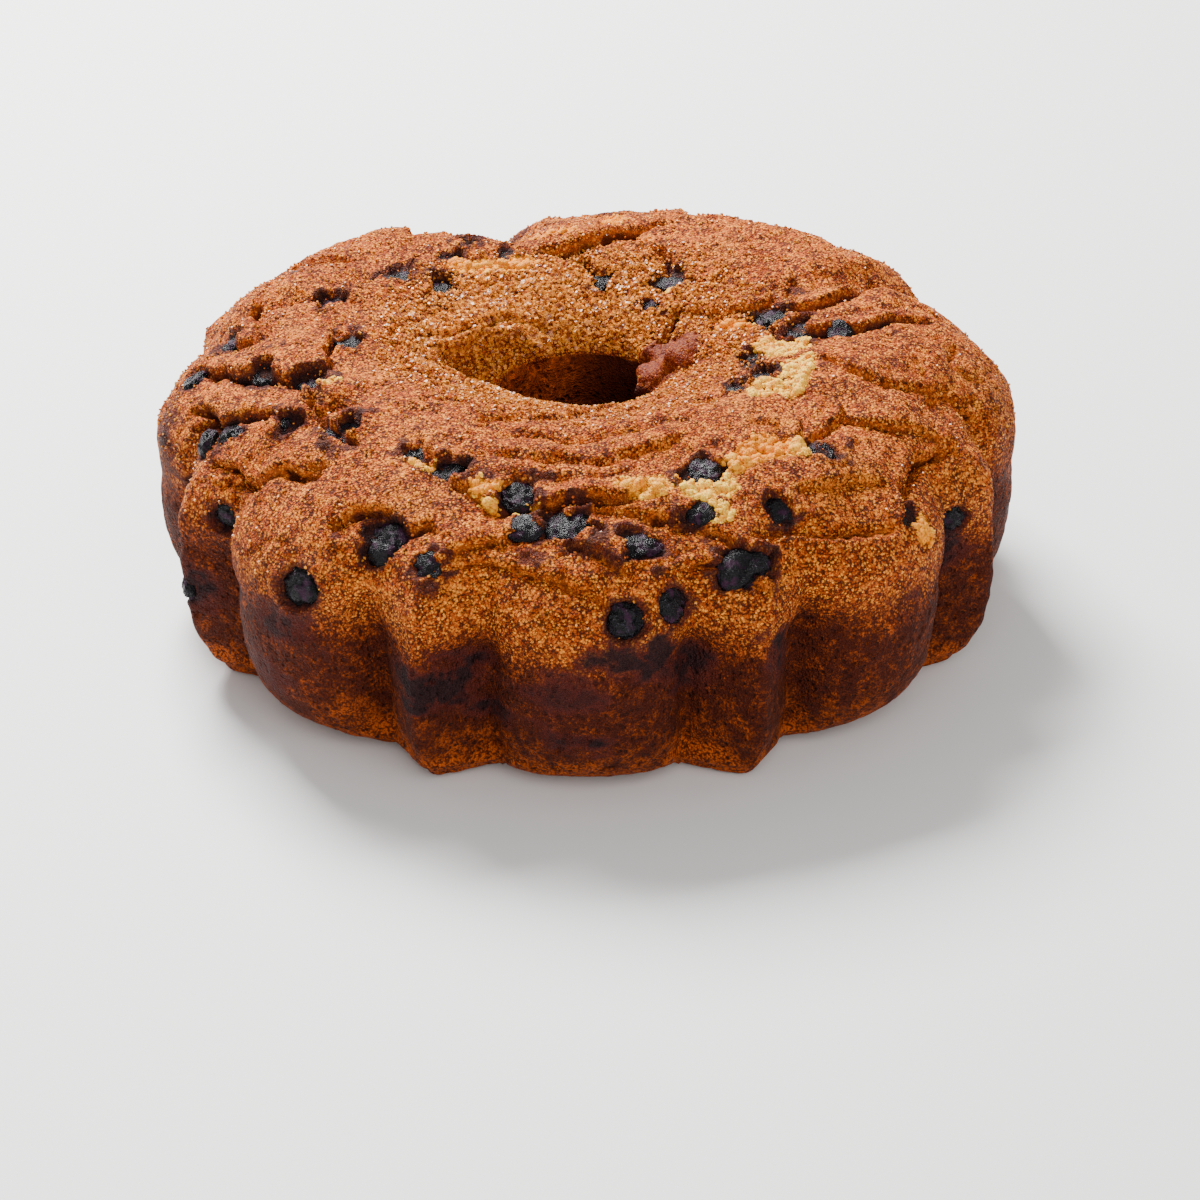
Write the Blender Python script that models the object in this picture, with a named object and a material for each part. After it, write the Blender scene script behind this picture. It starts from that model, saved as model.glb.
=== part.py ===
"""A blueberry bundt cake, 228 mm across and about 84 mm high, standing with its pan side down.

One solid ring of cake carries the blueberries that are baked into its crust, each in a socket
of its own. +Z is up, and the origin is the middle of the face that the cake rests on. Round
flutes lie at azimuths 0, 45, 90 and so on, measured from +X towards +Y.
"""

import bmesh
import bpy
from math import atan2, copysign, cos, degrees, hypot, pi, radians, sin, sqrt
from mathutils import Matrix, Vector

MM = 0.001

# ---- driving dimensions -------------------------------------------------------------------
RIM_RADIUS = 114 * MM  # round flutes, at their widest
CROWN_HEIGHT = 80 * MM  # highest ring of the risen batter, before its unevenness
CROWN_RADIUS = 62 * MM  # where that ring lies
HOLE_TOP = 20.5 * MM  # radius of the hole left by the pan's tube, near the crown
FLUTES = 8  # round flutes, with a pointed one between each pair
COLUMNS = 96  # vertices round the ring: twelve for each pair of flutes

PITCH = 360 / FLUTES  # degrees from one round flute to the next
LOBE_HALF = 0.3 * PITCH  # half the width of a round flute, in degrees
RIDGE_HALF = 0.2 * PITCH  # half the width of a pointed flute

# The section through a round flute, counter-clockwise from the base: (radius, height).
SECTION = (
    (36 * MM, 0),
    (50 * MM, 0),
    (CROWN_RADIUS, 0),
    (76 * MM, 0),
    (90 * MM, 0),
    (100 * MM, 3.5 * MM),
    (107.5 * MM, 10 * MM),
    (112 * MM, 20 * MM),
    (RIM_RADIUS, 34 * MM),
    (RIM_RADIUS, 48 * MM),
    (111 * MM, 56.5 * MM),
    (103.5 * MM, 64.5 * MM),
    (92 * MM, 71.5 * MM),
    (78 * MM, 77 * MM),
    (CROWN_RADIUS, CROWN_HEIGHT),
    (47 * MM, 78 * MM),
    (35 * MM, 73.5 * MM),
    (26 * MM, 68.5 * MM),
    (21.5 * MM, 63 * MM),
    (HOLE_TOP, 54 * MM),
    (23 * MM, 30 * MM),
    (25.5 * MM, 10 * MM),
    (30 * MM, 2 * MM),
)

# What the flutes do to that section, as (height, amount) pairs.
VALLEY_DEPTH = (
    (0, 3 * MM),
    (4 * MM, 6.5 * MM),
    (12 * MM, 13.5 * MM),
    (24 * MM, 16.5 * MM),
    (36 * MM, 16 * MM),
    (48 * MM, 11.5 * MM),
    (57 * MM, 7 * MM),
    (66 * MM, 2 * MM),
    (74 * MM, 0),
)
RIDGE_REACH = (
    (0, 9 * MM),
    (4 * MM, 5 * MM),
    (10 * MM, 2.5 * MM),
    (20 * MM, 1.5 * MM),
    (34 * MM, 1 * MM),
    (60 * MM, 0),
)
FLUTED_FROM, FLUTED_BY = 62 * MM, 90 * MM  # radii between which the flutes set in

# How much higher than the section the batter has risen near the rim, for the sixteen flutes
# in turn from azimuth 0, a round one.
RISE = tuple(
    mm * MM
    for mm in (5, 5.5, 4.2, 2.4, -0.5, -3, 5, 7, 4.5, 1.5, 0.5, 0, 0, 0, 0.5, 2)
)
RISE_FROM, RISE_BY = 50 * MM, 86 * MM  # radii between which it sets in
PAN_EDGE, RISEN = 38 * MM, 54 * MM  # heights between which it sets in
# Hollows where the batter has parted near the rim: azimuth, half width in degrees, depth.
PARTINGS = ((107, 11, 5 * MM), (23, 9, 9 * MM), (212, 5, 3 * MM), (168, 4, 3 * MM))
# The swell beside the hole and the dip across from it: azimuth, radius, reach, height.
SWELLS = (
    (2, 31 * MM, 12 * MM, 4 * MM),
    (186, 31 * MM, 13 * MM, -4.5 * MM),
    (265, 58 * MM, 12 * MM, -2 * MM),
)

# The knob of crust that leans into the hole: azimuth, half width, height, half height, reach.
KNOB = (12, 34, 61 * MM, 12 * MM, 8 * MM)
KNOB_FROM, KNOB_BY = 24 * MM, 40 * MM  # radii over which it fades out again

# ---- blueberries --------------------------------------------------------------------------
SOCKET_GAP = 0.3 * MM
BERRY_SIDES = 8
BERRY_FLATNESS = 0.86  # height over width of a baked berry
CROWN_SINK = 0.2  # how far a berry's middle lies under the crown, in diameters
WALL_SINK = 0.31  # and under the wall, where the pan pressed the berries back
# On the crown: azimuth in degrees, radius and diameter in millimetres.
CROWN_BERRIES = (
    (119, 64, 8),
    (129, 59.5, 7),
    (113.5, 55.5, 7.5),
    (147, 60.5, 9.5),
    (143, 49.5, 10.5),
    (167, 70, 8.5),
    (154, 88, 7.5),
    (175, 95, 7.5),
    (180, 105, 8),
    (186, 62, 8.5),
    (191, 85, 8.5),
    (200, 76, 10),
    (199.8, 98, 8.5),
    (196.2, 104, 8.5),
    (208.5, 86, 7),
    (219, 79, 9.5),
    (236, 76, 7),
    (244, 79, 8.5),
    (239.5, 100.5, 12),
    (248, 104.5, 8.5),
    (258, 82, 11.5),
    (260.5, 92.5, 8.5),
    (267.5, 91, 11),
    (278, 97, 9.5),
    (288, 91, 8),
    (292, 78, 11),
    (301, 94.5, 9.5),
    (292.5, 105.5, 12.5),
    (315, 85, 8),
    (319, 107.5, 8),
    (320, 49.5, 7),
    (332, 52.5, 11.5),
    (346, 44.5, 10.5),
    (1.5, 56, 9),
    (12, 50, 9),
    (357, 67, 6.5),
    (58, 34, 6.5),
    (58, 43.5, 9),
    (83.5, 40, 7.5),
    (86, 86, 8.5),
)
# In the fluted wall: azimuth in degrees, height and diameter in millimetres.
WALL_BERRIES = (
    (203, 27, 7),
    (208.8, 52, 8.5),
    (230, 51, 12.5),
    (275, 54, 11),
    (282, 54.5, 10),
    (331.8, 48.5, 8),
    (26, 44, 9),
    (66, 30, 9.5),
    (85, 54, 11),
    (118, 47, 10.5),
    (139, 22, 8.5),
    (163, 49, 9.5),
)


def eased(pairs, x):
    """The value at x of the smooth steps through (x, value) pairs."""
    if x <= pairs[0][0]:
        return pairs[0][1]
    for (x0, y0), (x1, y1) in zip(pairs, pairs[1:]):
        if x <= x1:
            return y0 + (y1 - y0) * smooth_step(x0, x1, x)
    return pairs[-1][1]


def smooth_step(start, end, x):
    t = min(1, max(0, (x - start) / (end - start)))
    return t * t * (3 - 2 * t)


def turn_between(a, b):
    """The angle from azimuth b to azimuth a in degrees, from -180 to 180."""
    return (a - b + 180) % 360 - 180


def flute(azimuth):
    """(how far out, from 0 in a valley to 1 on a crest; True in a pointed flute)."""
    off = abs(turn_between(azimuth, PITCH * round(azimuth / PITCH)))
    if off <= LOBE_HALF:
        return sqrt(1 - (off / LOBE_HALF) ** 2), False
    return 1 - abs(off - PITCH / 2) / RIDGE_HALF, True


def column_place(azimuth):
    """The azimuth that an evenly spun column goes to, so that every flute gets whole columns."""
    nearest = PITCH * round(azimuth / PITCH)
    off = turn_between(azimuth, nearest)
    even_half = PITCH / 3
    if abs(off) <= even_half:
        return nearest + off * LOBE_HALF / even_half
    spread = RIDGE_HALF / (PITCH / 2 - even_half)
    return nearest + copysign(LOBE_HALF + (abs(off) - even_half) * spread, off)


def rise(azimuth):
    """How much higher the batter stands near the rim at this azimuth."""
    step = PITCH / 2
    first = int(azimuth % 360 // step)
    part = smooth_step(0, 1, azimuth % 360 / step - first)
    height = RISE[first] * (1 - part) + RISE[(first + 1) % len(RISE)] * part
    for middle, half_width, depth in PARTINGS:
        height -= depth * (1 - smooth_step(0, half_width, abs(turn_between(azimuth, middle))))
    return height


def swell(azimuth, radius):
    """The height that the swells and dips near the hole add on the crown."""
    point = Vector((radius * cos(radians(azimuth)), radius * sin(radians(azimuth))))
    total = 0
    for middle, out, reach, height in SWELLS:
        centre = Vector((out * cos(radians(middle)), out * sin(radians(middle))))
        total += height * (1 - smooth_step(0, reach, (point - centre).length))
    return total


def knob(azimuth, radius, height):
    """How far the knob leans in from the hole's wall here."""
    middle, half_width, at, half_height, reach = KNOB
    round_it = 1 - smooth_step(0, half_width, abs(turn_between(azimuth, middle)))
    up_it = 1 - smooth_step(0, half_height, abs(height - at))
    return reach * round_it * up_it * (1 - smooth_step(KNOB_FROM, KNOB_BY, radius))


def shaped(azimuth, radius, height):
    """Where a point of the section goes at this azimuth: flutes, valleys and uneven crown."""
    out, pointed = flute(azimuth)
    fluted = smooth_step(FLUTED_FROM, FLUTED_BY, radius)
    move = -eased(VALLEY_DEPTH, height) * (1 - out)
    if pointed:
        move += eased(RIDGE_REACH, height) * out
    lift = rise(azimuth) * smooth_step(RISE_FROM, RISE_BY, radius)
    lift = lift * smooth_step(PAN_EDGE, RISEN, height)
    if height > CROWN_HEIGHT / 2:
        lift += swell(azimuth, radius)
    r = radius + move * fluted - knob(azimuth, radius, height)
    return Vector((r * cos(radians(azimuth)), r * sin(radians(azimuth)), height + lift))


def crown_place(azimuth, radius):
    """The point of the crown at this azimuth and radius, and the way it faces."""
    return section_place(azimuth, radius, SECTION[9:19], lambda point: hypot(*point.xy))


def wall_place(azimuth, height):
    """The point of the fluted wall at this azimuth and height, and the way it faces."""
    return section_place(azimuth, height, SECTION[4:12], lambda point: point.z)


def section_place(azimuth, wanted, stretch, measure):
    """Where a measure of the points along a stretch of the section first has the wanted value."""
    for start, end in zip(stretch, stretch[1:]):
        a = measure(shaped(azimuth, *start))
        b = measure(shaped(azimuth, *end))
        if min(a, b) <= wanted <= max(a, b):
            here = Vector(start).lerp(Vector(end), (wanted - a) / (b - a))
            point = shaped(azimuth, *here)
            step = (Vector(end) - Vector(start)).normalized() * MM
            ahead = shaped(azimuth, *(here + step)) - point
            beside = shaped(azimuth + 1, *here) - point
            return point, beside.cross(ahead).normalized()
    raise ValueError(f"the section has no point at {wanted} m")


def material(name, colour, roughness):
    made = bpy.data.materials.new(name)
    made.use_nodes = True
    shader = made.node_tree.nodes["Principled BSDF"]
    shader.inputs["Base Color"].default_value = (*colour, 1)
    shader.inputs["Roughness"].default_value = roughness
    shader.inputs["Metallic"].default_value = 0
    made.diffuse_color = (*colour, 1)
    return made


def add_object(name, mesh, finish, collection):
    made = bpy.data.objects.new(name, mesh)
    mesh.materials.append(finish)
    collection.objects.link(made)
    return made


def cake_ring(finish, collection):
    """The section spun into a ring, then every vertex moved to where the flutes put it."""
    bm = bmesh.new()
    loop = [bm.verts.new((r, 0, z)) for r, z in SECTION]
    edges = [bm.edges.new((a, b)) for a, b in zip(loop, loop[1:] + loop[:1])]
    bmesh.ops.spin(
        bm,
        geom=loop + edges,
        cent=(0, 0, 0),
        axis=(0, 0, 1),
        angle=2 * pi,
        steps=COLUMNS,
        use_merge=True,
    )
    for vert in bm.verts:
        x, y, z = vert.co
        vert.co = shaped(column_place(degrees(atan2(y, x))), hypot(x, y), z)
    bmesh.ops.recalc_face_normals(bm, faces=bm.faces)
    bmesh.ops.triangulate(bm, faces=bm.faces)
    mesh = bpy.data.meshes.new("cake")
    bm.to_mesh(mesh)
    bm.free()
    mesh.shade_smooth()
    mesh.set_sharp_from_angle(angle=radians(40))
    return add_object("cake", mesh, finish, collection)


def berry_mesh(name, width):
    """A sphere pressed flat, about its own middle."""
    bm = bmesh.new()
    bmesh.ops.create_uvsphere(bm, u_segments=BERRY_SIDES, v_segments=BERRY_SIDES // 2, radius=width / 2)
    bmesh.ops.scale(bm, vec=(1, 1, BERRY_FLATNESS), verts=bm.verts)
    mesh = bpy.data.meshes.new(name)
    bm.to_mesh(mesh)
    bm.free()
    mesh.shade_smooth()
    return mesh


def berry_seat(place, sunk):
    """Where a berry's own frame goes: its middle under the crust, its flat side outward."""
    point, normal = place
    upright = normal.to_track_quat("Z", "X").to_matrix().to_4x4()
    return Matrix.Translation(point - normal * sunk) @ upright


def blueberry(name, seat, diameter, finish, collection, cutters):
    """A berry in the crust, and the cutter for its socket, larger by the gap all round."""
    berry = add_object(name, berry_mesh(name, diameter), finish, collection)
    berry.matrix_world = seat
    socket_width = diameter + 2 * SOCKET_GAP / cos(pi / BERRY_SIDES) / BERRY_FLATNESS
    socket = berry_mesh(name + "_socket", socket_width)
    cutter = add_object(name + "_socket", socket, finish, cutters)
    cutter.matrix_world = seat
    cutter.hide_render = True
    cutter.display_type = "WIRE"


def cut_sockets(cake, cutters):
    cut = cake.modifiers.new("berry_sockets", "BOOLEAN")
    cut.operation = "DIFFERENCE"
    cut.operand_type = "COLLECTION"
    cut.collection = cutters
    cut.solver = "EXACT"


def main():
    for old in list(bpy.data.objects):
        bpy.data.objects.remove(old, do_unlink=True)
    collection = bpy.context.scene.collection
    cutters = bpy.data.collections.new("sockets")
    collection.children.link(cutters)
    crust = material("baked_crust", (0.42, 0.16, 0.045), 0.8)
    skin = material("blueberry_skin", (0.018, 0.016, 0.028), 0.45)
    cake = cake_ring(crust, collection)
    seats = [
        (berry_seat(crown_place(azimuth, radius * MM), width * CROWN_SINK * MM), width * MM)
        for azimuth, radius, width in CROWN_BERRIES
    ]
    seats += [
        (berry_seat(wall_place(azimuth, height * MM), width * WALL_SINK * MM), width * MM)
        for azimuth, height, width in WALL_BERRIES
    ]
    for number, (seat, diameter) in enumerate(seats, 1):
        blueberry(f"blueberry_{number:02d}", seat, diameter, skin, collection, cutters)
    cut_sockets(cake, cutters)


main()
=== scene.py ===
"""Blueberry bundt cake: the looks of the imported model.

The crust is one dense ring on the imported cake's own form, with its cracks, folds and torn
places. Every berry is a wrinkled skin on its packed berry. Sugar and crumbs are loose grains.
Azimuths run from +X towards +Y, in degrees. Radii and heights are in millimetres.
"""

from math import cos, pi, radians, sin

import bmesh
import bpy
import numpy as np
from bpy.props import FloatProperty, FloatVectorProperty, IntProperty, PointerProperty
from mathutils import Matrix, Vector


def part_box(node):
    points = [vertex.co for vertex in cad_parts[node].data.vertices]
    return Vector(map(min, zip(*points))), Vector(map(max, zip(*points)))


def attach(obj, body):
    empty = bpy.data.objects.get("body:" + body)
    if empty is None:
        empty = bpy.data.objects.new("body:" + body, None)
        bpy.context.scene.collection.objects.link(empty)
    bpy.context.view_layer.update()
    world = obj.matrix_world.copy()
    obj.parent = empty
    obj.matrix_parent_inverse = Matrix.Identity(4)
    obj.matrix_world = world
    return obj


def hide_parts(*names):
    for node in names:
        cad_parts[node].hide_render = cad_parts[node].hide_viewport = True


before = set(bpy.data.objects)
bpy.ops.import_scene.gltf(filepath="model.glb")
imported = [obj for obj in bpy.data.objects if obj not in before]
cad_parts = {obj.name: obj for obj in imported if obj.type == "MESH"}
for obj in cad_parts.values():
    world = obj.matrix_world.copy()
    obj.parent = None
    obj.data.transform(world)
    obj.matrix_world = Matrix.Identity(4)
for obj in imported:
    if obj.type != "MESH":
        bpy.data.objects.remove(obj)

bl_info = {
    "name": "Blueberry bundt cake",
    "version": (1, 0, 0),
    "blender": (4, 5, 0),
    "location": "View3D > Sidebar > Cake",
    "description": "Builds the looks of a blueberry bundt cake over its packed model",
    "category": "Mesh",
}

MM = 0.001
LAYERS = ("crown", "rim", "band", "low", "inside", "pocket", "deep", "opened_and_painted_shade")
LAYERS += ("bare", "tone", "juice", "glazed")
NOISE = {"Detail": 3, "Roughness": 0.6}
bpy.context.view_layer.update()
BERRIES = sorted(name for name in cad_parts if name.startswith("blueberry"))

# ---- the ring's form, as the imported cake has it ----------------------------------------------
RIM_RADIUS = 114
CROWN_HEIGHT = 80
CROWN_RADIUS = 62
HOLE_TOP = 20.5
FLUTES = 8
PITCH = 360 / FLUTES
LOBE_HALF = 0.3 * PITCH
RIDGE_HALF = 0.2 * PITCH
CREASE = 0.8  # degrees over which a valley or a crest is rounded off

# The section through a round flute, counter-clockwise from the base: (radius, height).
SECTION = (
    (36, 0),
    (50, 0),
    (CROWN_RADIUS, 0),
    (76, 0),
    (90, 0),
    (100, 3.5),
    (107.5, 10),
    (112, 20),
    (RIM_RADIUS, 34),
    (RIM_RADIUS, 48),
    (111, 56.5),
    (103.5, 64.5),
    (92, 71.5),
    (78, 77),
    (CROWN_RADIUS, CROWN_HEIGHT),
    (47, 78),
    (35, 73.5),
    (26, 68.5),
    (21.5, 63),
    (HOLE_TOP, 54),
    (23, 30),
    (25.5, 10),
    (30, 2),
)
VALLEY_DEPTH = ((0, 3), (4, 6.5), (12, 13.5), (24, 16.5), (36, 16), (48, 11.5), (57, 7), (66, 2), (74, 0))
RIDGE_REACH = ((0, 9), (4, 5), (10, 2.5), (20, 1.5), (34, 1), (60, 0))
FLUTED_FROM, FLUTED_BY = 62, 90
RISE = (5, 5.5, 4.2, 2.4, -0.5, -3, 5, 7, 4.5, 1.5, 0.5, 0, 0, 0, 0.5, 2)
RISE_FROM, RISE_BY = 50, 86
PAN_EDGE, RISEN = 38, 54
PARTINGS = ((107, 11, 5), (23, 9, 9), (212, 5, 3), (168, 4, 3))
SWELLS = ((2, 31, 12, 4), (186, 31, 13, -4.5), (265, 58, 12, -2))
KNOB = (12, 34, 61, 12, 8)
KNOB_FROM, KNOB_BY = 24, 40

# ---- what the oven did to it -------------------------------------------------------------------
# Cracks in the crown: their course as (azimuth, radius) points, half width, depth, how much
# higher the crust stands on the left of the course than on the right, and the juice in them.
CRACKS = (
    (((18, 46), (7, 48), (357, 52), (357, 60), (357, 67), (359, 74), (2, 81), (6, 92)), 1.9, 4.2, 1.6, 1.0),
    (((12, 50), (10, 59), (11, 65), (14, 73), (20, 80), (27, 87)), 1.5, 3.6, 1.8, 0.5),
    (((340, 62), (341, 67), (339, 72), (338, 78), (339, 84), (343, 90), (349, 98)), 1.0, 2.2, 1.1, 0.0),
    (((311, 80), (317, 80), (322, 81), (326, 86), (329, 91), (333, 96), (337, 104)), 1.2, 2.6, 1.3, 0.0),
    (((319, 105), (321, 103), (325, 101), (330, 102), (336, 103)), 1.7, 4.4, 1.4, 0.2),
    (((296, 101), (300, 102), (305, 105), (310, 107), (316, 109)), 1.4, 3.0, -1.8, 0.1),
    (((1, 98), (355, 97), (354, 100), (356, 106)), 1.2, 2.6, 0.8, 0.2),
    (((346, 100), (347, 105), (350, 110)), 1.3, 2.6, 0.8, 0.2),
    (((340, 92), (345, 97), (351, 105)), 1.0, 2.0, 0.8, 0.1),
    (((104, 56), (100, 54), (95, 52), (88, 56), (83, 60), (79, 65), (74, 70), (72, 76)), 2.2, 3.4, 2.4, 0.0),
    (((77, 58), (76, 66), (71, 70), (60, 71), (48, 68), (37, 64), (27, 63), (24, 61)), 1.3, 2.8, -2.4, 0.0),
    (((74, 57), (67, 54), (62, 47), (62, 41), (55, 38)), 1.4, 3.0, 1.2, 0.6),
    (((91, 50), (86, 43), (83, 40), (81, 36), (81, 32)), 1.8, 4.0, 0.5, 1.0),
    (((55, 43), (40, 47), (30, 54), (23, 54), (19, 46), (29, 38), (48, 34)), 1.1, 2.4, -1.2, 0.2),
    (((24, 61), (18, 55), (20, 47)), 1.1, 2.4, 0.8, 0.3),
    (((48, 35), (42, 31), (38, 27), (38, 22)), 1.4, 3.0, 0.5, 0.5),
    (((27, 44), (25, 38), (17, 35), (8, 34)), 1.2, 2.6, 0.6, 0.5),
    (((105, 52), (108, 62), (106, 76), (108, 92), (107, 104)), 1.8, 3.0, 0.0, 0.1),
    (((133, 62), (141, 64), (147, 61), (152, 63), (159, 66), (167, 71)), 1.4, 3.0, 1.8, 0.4),
    (((128, 80), (124, 88), (121, 98)), 1.2, 2.4, 1.4, 0.0),
    (((112, 80), (120, 74), (131, 76), (140, 82)), 1.2, 2.4, 1.6, 0.0),
    (((165, 104), (170, 100), (178, 92), (180, 87), (176, 86), (167, 91), (156, 94)), 1.4, 2.8, 1.2, 0.4),
    (((177, 106), (181, 101), (186, 95), (191, 89), (195, 83), (201, 79), (207, 81)), 1.8, 4.2, 2.0, 0.9),
    (((199, 78), (197, 73), (196, 70), (190, 69), (183, 66), (176, 68)), 1.4, 2.8, 1.2, 0.3),
    (((205, 79), (209, 79), (213, 75), (212, 70)), 1.2, 2.8, -0.8, 0.3),
    (((209, 78), (215, 80), (220, 82), (226, 81)), 1.5, 3.4, 1.0, 0.6),
    (((188, 106), (191, 102), (196, 102), (199, 96), (203, 90), (207, 88)), 2.0, 4.2, 1.6, 1.0),
    (((192, 109), (193, 104), (197, 102), (200, 96)), 1.8, 4.2, 0.8, 1.0),
    (((201, 106), (208, 104), (212, 102), (210, 106), (207, 110)), 1.4, 3.4, 1.0, 0.4),
    (((210, 104), (213, 101), (216, 98), (219, 95), (224, 93)), 1.3, 2.8, 1.8, 0.0),
    (((219, 93), (222, 90), (219, 86)), 0.9, 1.8, 0.8, 0.0),
    (((231, 104), (233, 99), (236, 96), (240, 96)), 1.4, 2.8, 1.4, 0.4),
    (((239, 107), (242, 101), (245, 97), (250, 98)), 1.4, 2.6, 0.8, 0.3),
    (((233, 72), (238, 78), (244, 81), (249, 84), (255, 88)), 1.3, 2.6, 1.2, 0.4),
    (((253, 88), (258, 87), (264, 86), (271, 84), (277, 83), (281, 80)), 2.2, 4.4, 2.4, 0.1),
    (((268, 90), (273, 87), (279, 89), (285, 91), (290, 87)), 1.2, 2.4, 1.2, 0.2),
    (((248, 104), (254, 99), (260, 95), (267, 96), (272, 100), (277, 106)), 1.1, 2.2, 1.4, 0.0),
    (((248, 106), (254, 104), (261, 104), (268, 106), (274, 109)), 1.1, 2.2, 1.0, 0.0),
    (((283, 106), (286, 106), (289, 107), (294, 111)), 1.2, 2.8, 1.4, 0.3),
    (((283, 92), (289, 96), (291, 101), (289, 107)), 1.2, 2.2, 1.2, 0.4),
    (((304, 92), (310, 93), (316, 96), (320, 101)), 1.0, 2.0, 1.2, 0.0),
    (((312, 62), (318, 66), (318, 73), (313, 79)), 1.0, 2.4, -1.4, 0.1),
    (((322, 66), (328, 72), (327, 79), (322, 84)), 0.9, 1.8, -1.0, 0.0),
    (((24, 84), (21, 94), (20, 104), (21, 110)), 2.0, 3.8, 0.6, 0.3),
    (((34, 78), (44, 82), (56, 82), (66, 86)), 1.2, 2.4, 1.6, 0.0),
    (((48, 96), (58, 94), (70, 98), (80, 96)), 1.2, 2.2, 1.2, 0.0),
    (((88, 74), (94, 80), (98, 92)), 1.1, 2.2, 1.2, 0.0),
    (((303, 45), (311, 49), (320, 53)), 0.9, 1.6, 0.4, 0.1),
    (((62, 76), (70, 84), (72, 96), (68, 106)), 1.5, 3.2, 1.6, 0.3),
    (((100, 78), (112, 86), (126, 88), (140, 93)), 1.4, 3.0, 1.8, 0.1),
    (((146, 76), (150, 86), (146, 98), (149, 106)), 1.3, 2.8, -1.4, 0.4),
    (((36, 88), (46, 95), (50, 106)), 1.3, 2.8, 1.2, 0.2),
)
# Folds of thick sugared crust round the hole: course, half width, depth or, below 0, height.
FOLDS = (
    (((185, 41), (170, 34), (156, 30.5), (140, 27), (130, 24.5), (118, 21.5)), 1.3, -4.4, 0.0, 0.0),
    (((184, 45), (170, 38), (155, 34), (138, 31), (122, 28), (110, 25)), 1.6, 3.6, 0.6, 0.0),
    (((150, 42), (165, 45), (182, 50), (200, 48), (220, 45)), 2.2, 1.8, 0.8, 0.0),
    (((170, 40), (188, 41), (206, 38), (224, 36), (240, 38)), 1.9, 1.6, 0.6, 0.0),
    (((192, 34), (206, 31), (222, 29), (238, 30)), 1.7, 1.5, 0.0, 0.0),
    (((242, 63), (246, 55), (255, 52), (264, 46), (273, 38), (290, 31)), 2.0, 1.6, 1.0, 0.0),
    (((230, 46), (250, 44), (270, 46), (292, 45)), 2.4, 1.2, 0.4, 0.0),
    (((236, 58), (252, 61), (268, 60), (284, 58), (300, 60)), 2.4, 1.3, 1.0, 0.0),
    (((222, 57), (232, 52), (240, 50)), 2.2, 1.2, 0.0, 0.0),
    (((248, 69), (259, 71), (266, 70), (274, 71), (281, 69), (292, 66)), 2.0, 1.3, 1.2, 0.0),
    (((252, 77), (262, 76), (272, 76), (282, 74)), 1.8, 1.0, 0.6, 0.0),
    (((100, 40), (120, 42), (140, 41)), 2.0, 1.2, 0.4, 0.0),
    (((340, 27), (352, 30), (4, 31)), 1.5, 2.0, 0.6, 0.3),
    (((4, 62), (5, 70), (8, 80), (10, 94)), 1.8, 0.8, 0.5, 0.0),
    (((306, 68), (312, 72), (308, 84)), 1.6, 1.0, 0.6, 0.0),
)
FLAP = FOLDS[0][0]  # the flap's crest; the crust between it and the hole has sunk
SUNK = 3.5
# Places torn open to pale crumb: azimuth, radius, half length along the azimuth, half width,
# and tone, from 0 for cream to 1 for yolk yellow.
TORN = (
    (345, 52, 4.0, 5.5, 0.25),
    (336, 60, 6.0, 4.0, 0.15),
    (328, 62, 5.0, 3.5, 0.3),
    (324, 57, 6.5, 3.8, 0.2),
    (354, 47, 5.0, 3.0, 0.45),
    (352, 55, 3.5, 4.0, 0.35),
    (281, 81, 9.0, 3.2, 0.55),
    (289, 84, 4.5, 3.8, 0.05),
    (294, 84, 3.0, 4.0, 0.1),
    (298, 80, 4.5, 2.8, 0.6),
    (305, 78, 7.5, 4.2, 0.9),
    (311, 82, 4.0, 3.4, 0.45),
    (290.5, 92, 3.0, 3.0, 0.2),
    (252, 83, 4.2, 2.2, 0.8),
    (257, 87, 7.0, 1.8, 0.5),
    (240, 80, 4.5, 1.8, 0.5),
    (124, 51, 6.0, 3.0, 0.7),
    (113, 49, 7.0, 3.2, 0.8),
    (130, 54, 3.0, 2.6, 0.9),
    (57, 41, 2.4, 1.6, 0.1),
    (17, 39, 3.4, 3.4, 0.95),
    (13, 44, 2.6, 2.2, 0.9),
    (320, 110, 2.8, 2.4, 0.8),
    (98, 62, 7.0, 2.2, 1.0),
    (83, 72, 3.0, 7.0, 1.0),
    (204, 72, 1.6, 2.4, 0.4),
)
# Juice stains on the crown: azimuth, radius, half length along the azimuth, half width, strength.
CROWN_STAINS = (
    (341, 46, 6.0, 5.0, 0.85),
    (333, 53, 5.0, 3.5, 0.75),
    (22, 62, 7.0, 3.0, 0.7),
    (102, 88, 5.0, 4.0, 0.6),
    (262, 84, 4.0, 2.0, 0.6),
    (300, 96, 4.0, 3.0, 0.5),
    (262, 100, 5.0, 3.0, 0.5),
)
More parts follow.
